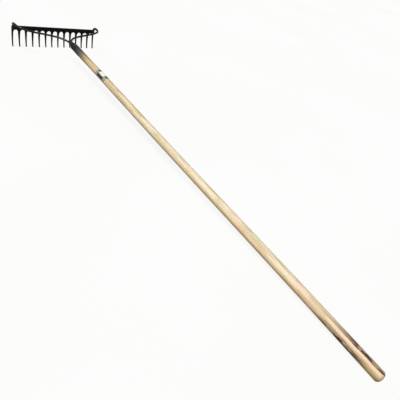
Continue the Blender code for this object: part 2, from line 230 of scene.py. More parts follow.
# Warm, darker tone of the painted shade on the pole's lower left side.
WARM_PAINTED_SHADE = (0.88, 0.60, 0.27)
# Dark brown of the side streaks, partly painted shade.
EDGE_SHADE_AND_STREAK = (0.075, 0.034, 0.016)
WOOD_FIBRE = (0.50, 0.36, 0.19)
WOOD_PORE = (0.24, 0.15, 0.07)
KNOT_HALO = (0.42, 0.25, 0.10)
KNOT_CORE = (0.13, 0.07, 0.03)
HAND_DIRT = (0.30, 0.22, 0.13)
RING_WIDTH = 2.6 * MM
PITH = (0.031, -0.024, 0.0)  # middle of the growth rings, beside the pole
MIST_START = 130.0 * MM
MIST_END = 230.0 * MM

# Paint and steel; a pair is the darkest and the lightest shade.
BLACK_PAINT = ((0.0025, 0.0027, 0.0026), (0.0065, 0.0068, 0.0064))
SCUFFED_PAINT = (0.045, 0.043, 0.04)
WORN_TIP = (0.032, 0.029, 0.027)
WEAR_HEIGHT = 4.0 * MM
WELD_PAINT = ((0.005, 0.005, 0.005), (0.02, 0.019, 0.018))
FERRULE_PAINT = ((0.004, 0.0038, 0.004), (0.010, 0.0095, 0.010))
DRAWING_MARKS = (0.035, 0.034, 0.034)
# Light grey of the painted highlight just before the ferrule's rear rim.
RIM_PAINTED_HIGHLIGHT = (0.10, 0.095, 0.092)
PAINT_MIST = (0.045, 0.04, 0.038)
NAIL_STEEL = ((0.22, 0.21, 0.2), (0.5, 0.48, 0.46))

# The label's print. A block has its start and end along the pole in millimetres, its low and high
# angle in degrees, and its shade.
LABEL_GROUND = ((0.27, 0.265, 0.20), (0.36, 0.35, 0.27))
LABEL_WHITE = (0.86, 0.85, 0.85)
LABEL_INK = (0.032, 0.030, 0.028)
LABEL_GREY = (0.20, 0.19, 0.17)
LABEL_RULE = (0.30, 0.29, 0.29)
LABEL_RUBBED = (0.70, 0.66, 0.58)
LABEL_BLOCKS = [
    (306.0, 338.0, -18.0, 128.0, LABEL_WHITE),
    (303.0, 343.0, 136.0, 186.0, LABEL_INK),
    (292.5, 303.0, 40.0, 104.0, LABEL_INK),
    (341.0, 355.0, 40.0, 104.0, LABEL_INK),
    (295.5, 300.0, 62.0, 84.0, LABEL_GREY),
    (345.5, 350.5, 62.0, 84.0, LABEL_GREY),
]
RULE_COUNT = 4
RULE_START = 311.0
RULE_PITCH = 6.0
RULE_WIDTH = 1.2
RULE_ANGLES = (10.0, 44.0)
PRINT_BLUR = 0.25 * MM
PRINT_TURN_BLUR = math.radians(1.0)

# Floor and light.
FLOOR_SIZE = 60.0
FLOOR_SHADES = ((0.955, 0.965, 0.95), (0.975, 0.98, 0.972))
FLOOR_DIFFUSE = 0.08  # share of the lit floor's light that takes a shadow; the rest is its own
SKY_BELOW = (0.30, 0.295, 0.285)
SKY_ABOVE = (0.34, 0.345, 0.34)
LAMP_COLOUR = (1.0, 0.995, 0.98)
LAMP_POWER = 2.6
LAMP_ANGLE = math.radians(18.0)
TOWARDS_LAMP = Vector((-0.40, -0.10, 0.92))

# Camera, as it stands on the ground frame.
CAMERA_PLACE = Vector((-0.74792, -0.81990, 0.70786))
CAMERA_HEADING = math.radians(50.852)
CAMERA_PITCH = math.radians(-36.539)
CAMERA_ROLL = math.radians(20.255)
CAMERA_LENS = 35.845
CAMERA_SENSOR = 36.0
CAMERA_NEAR = 0.01
CAMERA_FAR = 200.0


# ---- frames

def head_frame():
    """The head frame in the rake's own frame, from the mount on the bar's top edge."""
    mounts = {mount["name"]: mount for mount in frame["record"]["mounts"]}
    edge = mounts["levelling_edge"]
    up = Vector(edge["axis"]).normalized()
    away = up.cross(ACROSS)
    origin = Vector(edge["pos_m"]) - up * HEAD_HEIGHT
    return Matrix.Translation(origin) @ Matrix((ACROSS, away, up)).transposed().to_4x4()


HEAD = head_frame()
POLE = HEAD @ Matrix.Translation(POLE_ORIGIN) @ Matrix.Rotation(math.pi / 2 + POLE_DIP, 4, "X")


# ---- small helpers

def smooth_step(low, high, value):
    """0 up to the low value and 1 from the high one on, eased in between."""
    share = min(max((value - low) / (high - low), 0.0), 1.0)
    return share * share * (3.0 - 2.0 * share)


def arc(centre_x, centre_y, radius, start, stop, steps):
    """Points of an arc in a plane, from one angle in degrees to another, with both ends."""
    points = []
    for step in range(steps + 1):
        angle = math.radians(start + (stop - start) * step / steps)
        points.append((centre_x + radius * math.cos(angle), centre_y + radius * math.sin(angle)))
    return points


def smooth_path(points, steps):
    """Centripetal Catmull-Rom curve from the second point to the last but one."""
    path = []
    for first, start, end, last in zip(points, points[1:], points[2:], points[3:]):
        run_in = math.sqrt((start - first).length)
        span = math.sqrt((end - start).length)
        run_out = math.sqrt((last - end).length)
        start_pull = (start - first) / run_in - (end - first) / (run_in + span) + (end - start) / span
        end_pull = (end - start) / span - (last - start) / (span + run_out) + (last - end) / run_out
        for step in range(steps):
            share = step / steps
            blend = smooth_step(0.0, 1.0, share)
            leave = share * (1 - share) ** 2
            arrive = share * share * (share - 1)
            path.append(start + blend * (end - start) + span * (leave * start_pull + arrive * end_pull))
    path.append(points[-2])
    return path


def skin(edit, rings, closed=True):
    """Join a row of equal rings or strips of points with quads, and return their vertices."""
    rows = [[edit.verts.new(point) for point in ring] for ring in rings]
    count = len(rows[0])
    last = count if closed else count - 1
    for row, following in zip(rows, rows[1:]):
        for index in range(last):
            after = (index + 1) % count
            edit.faces.new((row[index], row[after], following[after], following[index]))
    return rows


def tube_rings(points, radius_at, sides):
    """Rings round a path, turning as little as they can on the way."""
    rings = []
    side = ACROSS
    for index, point in enumerate(points):
        before = points[max(index - 1, 0)]
        after = points[min(index + 1, len(points) - 1)]
        along = (after - before).normalized()
        side = (side - along * side.dot(along)).normalized()
        top = along.cross(side)
        ring = []
        for step in range(sides):
            angle = 2 * math.pi * step / sides
            radius = radius_at(index, angle)
            ring.append(point + (side * math.cos(angle) + top * math.sin(angle)) * radius)
        rings.append(ring)
    return rings


def closed_skin(rings):
    """A closed body through a row of rings, with a face over the first ring and over the last."""
    edit = bmesh.new()
    rows = skin(edit, rings)
    edit.faces.new(rows[0])
    edit.faces.new(rows[-1])
    return edit


def add_object(name, content):
    """A new object of this scene with the given mesh, lamp or camera."""
    thing = bpy.data.objects.new(name, content)
    bpy.context.scene.collection.objects.link(thing)
    return thing


def plain_mesh(name, edit):
    mesh = bpy.data.meshes.new(name)
    edit.to_mesh(mesh)
    edit.free()
    return mesh


def reopened(mesh):
    edit = bmesh.new()
    edit.from_mesh(mesh)
    return edit


def finish_mesh(name, edit, local_frame=Matrix.Identity(4), sharp_angle=40.0):
    """The bmesh as a mesh moved out of its local frame, shaded smooth up to the sharp angle."""
    bmesh.ops.recalc_face_normals(edit, faces=edit.faces)
    mesh = plain_mesh(name, edit)
    mesh.transform(local_frame)
    mesh.shade_smooth()
    mesh.set_sharp_from_angle(angle=math.radians(sharp_angle))
    return mesh


def add_piece(node, edit, local_frame, material, sharp_angle=40.0):
    """The finished fine piece of the rake that stands for one CAD node."""
    mesh = finish_mesh(node + "_fine", edit, local_frame, sharp_angle)
    mesh.materials.clear()
    mesh.materials.append(material)
    piece = add_object(mesh.name, mesh)
    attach(piece, "root")
    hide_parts(node)


def apply_modifiers(name, mesh, settings):
    """The mesh after these modifiers, each given as its name, its type and its values."""
    holder = add_object(name + "_holder", mesh)
    for label, kind, values in settings:
        modifier = holder.modifiers.new(label, kind)
        for key, value in values.items():
            setattr(modifier, key, value)
    depsgraph = bpy.context.evaluated_depsgraph_get()
    result = bpy.data.meshes.new_from_object(holder.evaluated_get(depsgraph))
    bpy.data.objects.remove(holder, do_unlink=True)
    return result


# ---- material helpers

def new_material(name):
    material = bpy.data.materials.new(name)
    material.use_nodes = True
    tree = material.node_tree
    return material, tree, tree.nodes["Principled BSDF"]


def add_node(tree, kind, inputs, **settings):
    """A node with its settings; an input is a value or another node's output."""
    node = tree.nodes.new(kind)
    for key, value in settings.items():
        setattr(node, key, value)
    for key, value in inputs.items():
        if isinstance(value, bpy.types.NodeSocket):
            tree.links.new(value, node.inputs[key])
        else:
            node.inputs[key].default_value = value
    return node


def calculate(tree, operation, *values):
    return add_node(tree, "ShaderNodeMath", dict(enumerate(values)), operation=operation).outputs[0]


def product(tree, first, second):
    return calculate(tree, "MULTIPLY", first, second)


def spread(tree, value, low, high, to_low=0.0, to_high=1.0):
    """The value's place between low and high, eased, as a share between two results."""
    inputs = {"Value": value, "From Min": low, "From Max": high, "To Min": to_low, "To Max": to_high}
    return add_node(
        tree, "ShaderNodeMapRange", inputs, interpolation_type="SMOOTHSTEP").outputs["Result"]


def drawn_out(tree, place, pace):
    """Coordinates that change along Z at this share of their own pace."""
    inputs = {"Vector": place, "Scale": (1.0, 1.0, pace)}
    return add_node(tree, "ShaderNodeMapping", inputs).outputs["Vector"]


def cloud(tree, place, scale, detail=3.0, pace=1.0):
    """Soft noise from 0 to 1 with this many features to the metre; a low pace draws it out along Z."""
    if pace != 1.0:
        place = drawn_out(tree, place, pace)
    inputs = {"Vector": place, "Scale": scale, "Detail": detail, "Roughness": 0.55}
    return add_node(tree, "ShaderNodeTexNoise", inputs).outputs["Fac"]


def mixed(tree, share, first, second):
    """The first colour with this share of the second one in it."""
    node = add_node(tree, "ShaderNodeMix", {0: share}, data_type="RGBA")
    for index, value in ((6, first), (7, second)):
        if isinstance(value, bpy.types.NodeSocket):
            tree.links.new(value, node.inputs[index])
        else:
            node.inputs[index].default_value = (*value, 1.0)
    return node.outputs[2]


def tinted(tree, colour, share, strength, shade):
    """The colour under a shade, which has its full strength where the share is 1."""
    return mixed(tree, product(tree, share, strength), colour, shade)


def ramp(tree, share, stops):
    """A colour from stops of (position, colour), evenly blended in between."""
    node = add_node(tree, "ShaderNodeValToRGB", {"Fac": share})
    elements = node.color_ramp.elements
    while len(elements) < len(stops):
        elements.new(0.5)
    for element, (position, colour) in zip(elements, stops):
        element.position = position
        element.color = (*colour, 1.0)
    return node.outputs["Color"]


def strength_along(tree, share, stops):
    """A strength from stops of (position, strength)."""
    return ramp(tree, share, [(position, (strength,) * 3) for position, strength in stops])


def clouded(tree, clouds, shades, full=0.7):
    """A colour that drifts with the clouds between a dark shade and a light one."""
    dark, light = shades
    return ramp(tree, clouds, [(0.3, dark), (full, light)])


def drifting(tree, clouds, low, high):
    """A value that drifts with the clouds between two limits."""
    return spread(tree, clouds, 0.3, 0.7, low, high)


def bump(tree, height, distance, strength, normal=None):
    inputs = {"Height": height, "Distance": distance, "Strength": strength}
    if normal is not None:
        inputs["Normal"] = normal
    return add_node(tree, "ShaderNodeBump", inputs).outputs["Normal"]


def object_place(tree):
    return add_node(tree, "ShaderNodeTexCoord", {}).outputs["Object"]


def local_place(tree, local_frame):
    """Coordinates in a local frame, which is turned from the rake's frame about X only."""
    inverse = local_frame.inverted()
    inputs = {
        "Vector": object_place(tree),
        "Location": inverse.translation,
        "Rotation": inverse.to_euler(),
    }
    return add_node(tree, "ShaderNodeMapping", inputs).outputs["Vector"]


def split(tree, vector):
    return add_node(tree, "ShaderNodeSeparateXYZ", {"Vector": vector}).outputs


def vector_math(tree, operation, *values):
    return add_node(
        tree, "ShaderNodeVectorMath", dict(enumerate(values)), operation=operation).outputs


def dress(tree, shader, colour, roughness, normal):
    """Give the shader its colour, its roughness and its fine relief."""
    tree.links.new(colour, shader.inputs["Base Color"])
    tree.links.new(roughness, shader.inputs["Roughness"])
    tree.links.new(normal, shader.inputs["Normal"])


# ---- materials

def black_paint(name, smoothest, shine, worn_tips=False):
    """Thin black paint on steel, cloudy and slightly orange-peeled; worn tine tips are rubbed grey."""
    material, tree, shader = new_material(name)
    place = local_place(tree, HEAD)
    clouds = cloud(tree, place, 60.0, detail=5.0)
    colour = clouded(tree, clouds, BLACK_PAINT)
    scuffs = spread(tree, cloud(tree, place, 420.0, pace=0.35), 0.66, 0.76)
    colour = tinted(tree, colour, scuffs, 0.35, SCUFFED_PAINT)
    if worn_tips:
        height = calculate(tree, "ADD", split(tree, place)["Z"], product(tree, clouds, 8.0 * MM))
        worn = spread(tree, height, WEAR_HEIGHT, WEAR_HEIGHT * 0.4)
        grit = spread(tree, cloud(tree, place, 900.0), 0.42, 0.62)
        colour = mixed(tree, product(tree, worn, grit), colour, WORN_TIP)
    roughness = drifting(tree, cloud(tree, place, 130.0), smoothest, smoothest + 0.14)
    waves = bump(tree, cloud(tree, place, 190.0, detail=2.0), 0.35 * MM, 0.5)
    peel = bump(tree, cloud(tree, place, 1500.0, detail=2.0), 0.05 * MM, 0.6, waves)
    shader.inputs["Specular IOR Level"].default_value = shine
    dress(tree, shader, colour, roughness, peel)
    return material


def weld_paint():
    """Black paint over rough weld metal, with spatter and a little soot."""
    material, tree, shader = new_material("weld_paint_fine")
    place = object_place(tree)
    clouds = cloud(tree, place, 320.0, detail=4.0)
    colour = clouded(tree, clouds, WELD_PAINT, full=0.75)
    spatter = bump(tree, cloud(tree, place, 1300.0, detail=4.0), 0.2 * MM, 0.8)
    dress(tree, shader, colour, drifting(tree, clouds, 0.42, 0.68), spatter)
    return material


def ferrule_paint():
    """Black paint over rolled sheet, with a painted highlight in light grey just before the rear rim, and
    drawing marks along it.
    """
    material, tree, shader = new_material("ferrule_paint_fine")
    place = local_place(tree, POLE)
    along = split(tree, place)["Z"]
    clouds = cloud(tree, place, 90.0, detail=4.0)
    colour = clouded(tree, clouds, FERRULE_PAINT)
    marks = cloud(tree, place, 900.0, pace=0.06)
    colour = tinted(tree, colour, spread(tree, marks, 0.5, 0.8), 0.5, DRAWING_MARKS)
    # A painted highlight: the paint turns lighter grey over the last millimetres before the rear rim.
    rim_highlight_edge = calculate(tree, "ADD", along, product(tree, clouds, 4.0 * MM))
    rim = spread(tree, rim_highlight_edge, FERRULE_REAR - 18.0 * MM, FERRULE_REAR - 1.0 * MM)
    colour = tinted(tree, colour, rim, 0.45, RIM_PAINTED_HIGHLIGHT)
    dents = bump(tree, cloud(tree, place, 120.0, detail=2.0), 0.3 * MM, 0.5)
    scratches = bump(tree, marks, 0.04 * MM, 0.8, dents)
    shader.inputs["Specular IOR Level"].default_value = 0.6
    dress(tree, shader, colour, drifting(tree, clouds, 0.17, 0.27), scratches)
    return material


def nail_steel():
    """Bare nail head, hammered and a little dull."""
    material, tree, shader = new_material("nail_steel_fine")
    place = object_place(tree)
    clouds = cloud(tree, place, 700.0, detail=4.0)
    marks = bump(tree, cloud(tree, place, 500.0), 0.2 * MM, 0.7)
    shader.inputs["Metallic"].default_value = 0.9
    colour = clouded(tree, clouds, NAIL_STEEL)
    dress(tree, shader, colour, drifting(tree, clouds, 0.25, 0.45), marks)
    return material


def knot_distance(tree, place):
    """Distance from the nearest knot's middle, as a share of its radius."""
    nearest = None
    for distance, angle, radius in KNOTS:
        centre = Vector((
            pole_radius(distance) * math.cos(angle), pole_radius(distance) * math.sin(angle), distance))
        offset = vector_math(tree, "SUBTRACT", place, centre)[0]
        length = vector_math(tree, "LENGTH", drawn_out(tree, offset, KNOT_SQUEEZE))["Value"]
        share = calculate(tree, "DIVIDE", length, radius)
        nearest = share if nearest is None else calculate(tree, "MINIMUM", nearest, share)
    return nearest


def growth_rings(tree, place):
    """Share of late wood: rings round a pith outside the pole, which show as long flames."""
    bend = cloud(tree, place, 30.0, detail=2.0, pace=0.10)
    bends = add_node(tree, "ShaderNodeCombineXYZ", {"X": bend, "Y": bend}).outputs[0]
    bent = vector_math(tree, "MULTIPLY_ADD", bends, (16.0 * MM, 12.0 * MM, 0.0), place)[0]
    from_pith = vector_math(tree, "DISTANCE", drawn_out(tree, bent, 0.02), PITH)["Value"]
    ring = calculate(tree, "FRACT", calculate(tree, "DIVIDE", from_pith, RING_WIDTH))
    return product(tree, spread(tree, ring, 0.35, 0.92), spread(tree, ring, 1.0, 0.94))


def edge_shade_and_streaks(tree, place, share, along, across):
    """Share of the ragged dark brown streaks, one along the lower left side and one along the upper
    right, both strongest near the butt: partly streaks in the wood and partly painted shade at the pole's
    edges.
    """
    left_edge = spread(tree, along, 1.41, 1.47, -10.0 * MM, -4.5 * MM)
    left = spread(tree, calculate(tree, "SUBTRACT", across, left_edge), 1.5 * MM, -2.5 * MM)
    left = product(tree, left, strength_along(tree, share, LEFT_SHADE_AND_STREAK))
    right = spread(tree, across, 5.0 * MM, 8.0 * MM)
    right = product(tree, right, strength_along(tree, share, RIGHT_SHADE_AND_STREAK))
    blots = cloud(tree, place, 85.0, detail=4.0, pace=0.3)
    blotted = spread(tree, blots, 0.40, 0.50, 0.45, 1.0)
    return product(tree, calculate(tree, "MAXIMUM", left, right), blotted)


def paint_mist(tree, place, along, across, torn):
    """Share of the black paint that drifted past the ferrule when the head was sprayed."""
    ragged = calculate(tree, "ADD", along, product(tree, torn, 30.0 * MM))
    further = spread(tree, across, 5.0 * MM, 11.0 * MM, 0.0, 20.0 * MM)
    sprayed = spread(tree, calculate(tree, "SUBTRACT", ragged, further), MIST_END, MIST_START)
    specks = spread(tree, cloud(tree, place, 1900.0), 0.30, 0.62, 0.86, 1.0)
    return product(tree, sprayed, specks)


def pole_wood():
    """Pale varnished hardwood: growth rings, fibres, pores, knots, dark side streaks that are partly
    painted shade, painted shade on the lower left side, a sprayed front.
    """
    material, tree, shader = new_material("pole_wood_fine")
    place = local_place(tree, POLE)
    axes = split(tree, place)
    along = axes["Z"]
    # Across the pole, from its lower left side to its upper right side.
    across = product(tree, calculate(tree, "ADD", axes["X"], axes["Y"]), math.sqrt(0.5))
    ragged = cloud(tree, place, 120.0, detail=5.0, pace=0.10)
    torn = calculate(tree, "SUBTRACT", ragged, 0.5)
    torn_across = calculate(tree, "ADD", across, product(tree, torn, 18.0 * MM))

    # Age and wear change the wood's colour along the pole.
    drift = cloud(tree, place, 34.0, detail=2.0, pace=0.12)
    wander = product(tree, calculate(tree, "SUBTRACT", drift, 0.5), 160.0 * MM)
    share = calculate(tree, "DIVIDE", calculate(tree, "ADD", along, wander), POLE_END)
    late_wood = growth_rings(tree, place)
    colour = tinted(tree, ramp(tree, share, WOOD_ALONG), late_wood, 0.46, LATE_WOOD)

    # Patches that lean to pink, to olive and to orange.
    flames = cloud(tree, place, 115.0, pace=0.09)
    colour = tinted(tree, colour, spread(tree, flames, 0.50, 0.62), 0.75, PINK_WOOD)
    colour = tinted(tree, colour, spread(tree, flames, 0.48, 0.38), 0.75, OLIVE_WOOD)
    spots = cloud(tree, place, 95.0, pace=0.22)
    colour = tinted(tree, colour, spread(tree, spots, 0.56, 0.66), 0.50, ORANGE_WOOD)

    # Fine fibres and short dark pores.
    fibres = cloud(tree, place, 620.0, detail=4.0, pace=0.012)
    colour = tinted(tree, colour, spread(tree, fibres, 0.38, 0.72), 0.24, WOOD_FIBRE)
    pores = cloud(tree, place, 1500.0, pace=0.03)
    colour = tinted(tree, colour, spread(tree, pores, 0.66, 0.74), 0.35, WOOD_PORE)

    # The lower left side, which is turned from the lamp, is painted warmer and darker behind the middle
    # of the pole: painted shade.
    shaded_low_side = spread(tree, across, -2.0 * MM, -9.0 * MM)
    rear_half = spread(tree, along, 0.55, 0.90)
    colour = tinted(tree, colour, product(tree, shaded_low_side, rear_half), 0.55, WARM_PAINTED_SHADE)
    # Dark brown streaks along the lower left and the upper right side: partly streaks in the wood and
    # partly painted shade at the pole's edges.
    colour = mixed(tree, edge_shade_and_streaks(tree, place, share, along, torn_across), colour, EDGE_SHADE_AND_STREAK)

    # Knots with a dark core.
    knots = knot_distance(tree, place)
    colour = tinted(tree, colour, spread(tree, knots, 1.5, 0.8), 0.55, KNOT_HALO)
    colour = tinted(tree, colour, spread(tree, knots, 0.75, 0.3), 0.8, KNOT_CORE)

    # Handling dirt in the fibres, and sprayed paint over it all.
    dirt = cloud(tree, place, 210.0, detail=5.0, pace=0.22)
    colour = tinted(tree, colour, spread(tree, dirt, 0.56, 0.78), 0.26, HAND_DIRT)
    colour = mixed(tree, paint_mist(tree, place, along, torn_across, torn), colour, PAINT_MIST)

    grain = bump(tree, fibres, 0.10 * MM, 0.35)
    rings = bump(tree, late_wood, 0.06 * MM, 0.4, grain)
    shader.inputs["Specular IOR Level"].default_value = 0.35
    shader.inputs["Coat Weight"].default_value = 0.08
    shader.inputs["Coat Roughness"].default_value = 0.35
    dress(tree, shader, colour, spread(tree, ragged, 0.3, 0.75, 0.42, 0.60), rings)
    return material


def block_mask(tree, along, turn, area):
    """1 inside a block of the label's print, with soft edges."""
    start, end, low, high = area
    inside = 1.0
    for value, first, second, blur in (
            (along, start * MM, end * MM, PRINT_BLUR),
            (turn, math.radians(low), math.radians(high), PRINT_TURN_BLUR)):
        inside = product(tree, inside, spread(tree, value, first - blur, first + blur))
        inside = product(tree, inside, spread(tree, value, second + blur, second - blur))
    return inside


def label_print():
    """All blocks of the label's print, with a column of short rules on the white panel."""
    blocks = list(LABEL_BLOCKS)
    for row in range(RULE_COUNT):
        start = RULE_START + RULE_PITCH * row
        blocks.append((start, start + RULE_WIDTH, *RULE_ANGLES, LABEL_RULE))
    return blocks


def label_film():
    """Grey-green film with a white panel, plain dark blocks and rules, and no lettering."""
    material, tree, shader = new_material("label_film_fine")
    place = local_place(tree, POLE)
    axes = split(tree, place)
    turn = calculate(tree, "ARCTAN2", axes["Y"], axes["X"])
    clouds = cloud(tree, place, 140.0, detail=4.0)
    colour = clouded(tree, clouds, LABEL_GROUND, full=0.6)
    for *area, shade in label_print():
        colour = mixed(tree, block_mask(tree, axes["Z"], turn, area), colour, shade)
    rubbed = spread(tree, cloud(tree, place, 600.0, pace=0.4), 0.6, 0.72)
    colour = tinted(tree, colour, rubbed, 0.3, LABEL_RUBBED)
    creases = bump(tree, cloud(tree, place, 160.0, pace=0.5), 0.15 * MM, 0.5)
    dress(tree, shader, colour, drifting(tree, clouds, 0.32, 0.5), creases)
    return material


# ---- head

def tine_half_width(height):
    share = (height / ROOT_HEIGHT) ** TAPER_POWER
    return (TIP_WIDTH + (ROOT_WIDTH - TIP_WIDTH) * share) / 2


def plate_middle(height):
    """Y of the plate's middle: straight through the bar, and curved along the tines."""
    if height >= ROOT_HEIGHT:
        return BAR_LEAN * (HEAD_HEIGHT - height)
    share = height / ROOT_HEIGHT
    return BAR_LEAN * (HEAD_HEIGHT * share * (2 - share) - height)


def plate_thickness(height):
    share = min(max(height / ROOT_HEIGHT, 0.0), 1.0)
    return TIP_THICKNESS + (BAR_THICKNESS - TIP_THICKNESS) * share


def tine_centre(index):
    return (index - (TINE_COUNT - 1) / 2) * TINE_PITCH


def flank_heights():
    """Heights along a tine's flank, from the top of its round tip to its root."""
    low = TIP_WIDTH / 2
    return [low + (ROOT_HEIGHT - low) * step / FLANK_STEPS for step in range(FLANK_STEPS + 1)]


def web_heights():
    """Heights up the bar, from the root line to its top edge."""
    rise = HEAD_HEIGHT - ROOT_HEIGHT
    return [ROOT_HEIGHT + rise * step / WEB_STEPS for step in range(WEB_STEPS + 1)]


def add_tine_side(edit, centre, side, reach):
    """Quads from a tine's outline to its middle line, and fans at its tip, up to the root line."""
    def point(x, z):
        return edit.verts.new((centre + side * min(x, reach), 0.0, z))

    tip = arc(0.0, TIP_WIDTH / 2, TIP_WIDTH / 2, 270, 360, TIP_STEPS)
    hub = point(0.0, TIP_WIDTH / 2)
    rim = [point(x, z) for x, z in tip]
    for first, second in zip(rim, rim[1:]):
        edit.faces.new((hub, first, second))
    inner, outer = hub, rim[-1]
    for height in flank_heights()[1:]:
        next_inner = point(0.0, height)
        next_outer = point(tine_half_width(height), height)
        edit.faces.new((inner, outer, next_outer, next_inner))
        inner, outer = next_inner, next_outer


def add_gullet_side(edit, centre, side):
    """Quads from half a gullet's arc to the tine's middle line and the bar's top edge."""
    outer = arc(TINE_PITCH / 2, ROOT_HEIGHT, GULLET_RADIUS, 180, 90, WEB_STEPS + TOP_STEPS)
    inner = [(0.0, height) for height in web_heights()]
    inner += [(TINE_PITCH / 2 * step / TOP_STEPS, HEAD_HEIGHT) for step in range(1, TOP_STEPS + 1)]
    rungs = [[(centre + side * x, 0.0, z) for x, z in pair] for pair in zip(outer, inner)]
    skin(edit, rungs, closed=False)


def add_bar_end(edit, centre, side):
    """The half of an end tine's web that faces outwards, with the bar's round upper corner."""
    reach = HEAD_WIDTH / 2 - abs(centre)
    rungs = [[(centre + side * x, 0.0, z) for x in (reach, 0.0)] for z in web_heights()[:-1]]
    rows = skin(edit, rungs, closed=False)
    corner = arc(0.0, HEAD_HEIGHT - reach, reach, 0, 90, CORNER_STEPS)
    ring = [edit.verts.new((centre + side * x, 0.0, z)) for x, z in corner]
    edit.faces.new([rows[-1][1], rows[-1][0], *ring])


def flat_comb():
    """The comb's outline filled with quads, in the plane Y = 0."""
    edit = bmesh.new()
    for index in range(TINE_COUNT):
        centre = tine_centre(index)
        for side in (-1, 1):
            at_end = (index == 0 and side < 0) or (index == TINE_COUNT - 1 and side > 0)
            if at_end:
                add_tine_side(edit, centre, side, HEAD_WIDTH / 2 - abs(centre))
                add_bar_end(edit, centre, side)
            else:
                add_tine_side(edit, centre, side, TINE_PITCH)
                add_gullet_side(edit, centre, side)
    bmesh.ops.remove_doubles(edit, verts=edit.verts, dist=MERGE)
    bmesh.ops.recalc_face_normals(edit, faces=edit.faces)
    return edit


def tine_sway(x, height):
    """How far a hand-set tine leans sideways and forwards, growing from root to tip."""
    index = round(x / TINE_PITCH + (TINE_COUNT - 1) / 2)
    lean = max(1.0 - height / ROOT_HEIGHT, 0.0) ** SWAY_POWER * TINE_SWAY
    seed = Vector((index * 3.7, 1.3, 0.0))
    return lean * noise.noise(seed), lean * noise.noise(seed + Vector((0.0, 5.0, 9.0)))


def make_head(material):
    """The comb as a plate with rounded edges, bent to its curve and slightly uneven from the forge."""
    mesh = apply_modifiers("comb", plain_mesh("comb_sheet", flat_comb()), [
        ("plate", "SOLIDIFY", {"thickness": BAR_THICKNESS, "offset": 0.0, "use_even_offset": True}),
        ("edges", "BEVEL", {
            "width": EDGE_ROUNDING, "segments": EDGE_SEGMENTS, "limit_method": "ANGLE",
            "angle_limit": EDGE_ANGLE, "use_clamp_overlap": False}),
    ])
    edit = reopened(mesh)
    for vertex in edit.verts:
        x, y, height = vertex.co
        wave = noise.noise(Vector((x, y * 0.3, height)) * 60.0) * FORGE_WAVE
        sway_x, sway_y = tine_sway(x, height)
        depth = y * plate_thickness(height) / BAR_THICKNESS
        vertex.co.y = plate_middle(height) + depth + wave + sway_y
        vertex.co.x = x + sway_x + noise.noise(Vector((x, 7.0, height)) * 45.0) * FORGE_WAVE
    add_piece("rake_head", edit, HEAD, material)


# ---- bow and welds

def from_pole(x, up, along):
    """A point of the pole frame, in the head frame."""
    return HEAD.inverted() @ POLE @ Vector((x, up, along))


def rod_middle(height):
    """Y of a rod's axis where it lies against the back of the bar."""
    return plate_middle(height) - BAR_THICKNESS / 2 - LAP_GAP - ROD_RADIUS


def bow_path(corner_rise):
    """The right rod's path, each point with its share of the rod's thickness as a fourth number."""
    lap = [Vector((ROD_X, rod_middle(height), height, 1.0)) for height in (LAP_BOTTOM, LAP_TOP)]
    bow = []
    for x, y, z, share in BOW_POINTS:
        z = min(z, CORNER_BASE) + corner_rise * max(z - CORNER_BASE, 0.0)
        bow.append(Vector((x * MM, y * MM, z * MM, share)))
    tang = [from_pole(TANG_X, 0.0, along).to_4d() for along in (TANG_START, TANG_FULL_END, TANG_END)]
    tang[-1].w = TANG_TIP_SHARE
    start = [lap[0].lerp(lap[1], step / LAP_STEPS) for step in range(LAP_STEPS)]
    return start + smooth_path([*lap, *bow, tang[0], tang[1]], BOW_STEPS) + tang[1:]


def make_rod(side, sign, material):
    """A hand-bent rod: slightly uneven, swollen at the hot bends, with a sawn end."""
    path = bow_path(CORNER_RISE[side])
    points = [Vector((sign * point.x, point.y, point.z)) for point in path]
    shares = [point.w for point in path]
    points.insert(1, points[0].lerp(points[1], CUT_PLACE))
    shares = [CUT_SHARE, 1.0] + shares[1:]

    def radius_at(index, angle):
        point = points[index]
        rough = noise.noise(point * 90.0 + Vector((math.cos(angle), math.sin(angle), sign)))
        return ROD_RADIUS * shares[index] + rough * ROD_WAVE

    edit = closed_skin(tube_rings(points, radius_at, ROD_SIDES))
    add_piece(side + "_bow_rod", edit, HEAD, material)


def make_bead(node, start, end, radius, local_frame, material):
    """A weld bead of overlapping ripples, run by hand along a groove."""
    length = (end - start).length
    count = round(length / WELD_STEP)
    points = [start.lerp(end, step / count) for step in range(count + 1)]
    seed = len(node) * 1.7

    def radius_at(index, angle):
        along = length * index / count
        ends = min(along, length - along) / radius
        dome = math.sqrt(1.0 - (1.0 - min(ends, 1.0)) ** 2) * 0.75 + 0.22
        phase = along / WELD_RIPPLE + 0.12 * math.cos(angle)
        ripple = (phase - math.floor(phase)) ** 1.5
        uneven = noise.noise(Vector((along * 260.0, math.cos(angle), math.sin(angle) + seed)))
        return radius * dome * (0.93 + 0.12 * ripple + 0.10 * uneven)

    edit = closed_skin(tube_rings(points, radius_at, WELD_SIDES))
    add_piece(node, edit, local_frame, material, WELD_SMOOTH_ANGLE)


def make_side_welds(material):
    """Two beads for each rod, in the grooves between the rod and the back of the bar."""
    lift = SIDE_WELD_SEAT + WELD_CLEARANCE
    offset = math.sqrt((ROD_RADIUS + lift) ** 2 - (ROD_RADIUS - SIDE_WELD_SEAT) ** 2)
    for side, sign in (("left", -1), ("right", 1)):
        for where, direction in (("inner", -1), ("outer", 1)):
            x = sign * (ROD_X + direction * offset)
            ends = []
            for height in (SIDE_WELD_BOTTOM, SIDE_WELD_TOP):
                ends.append(Vector((x, plate_middle(height) - BAR_THICKNESS / 2 - lift, height)))
            make_bead(f"{side}_{where}_weld", *ends, SIDE_WELD_RADIUS, HEAD, material)


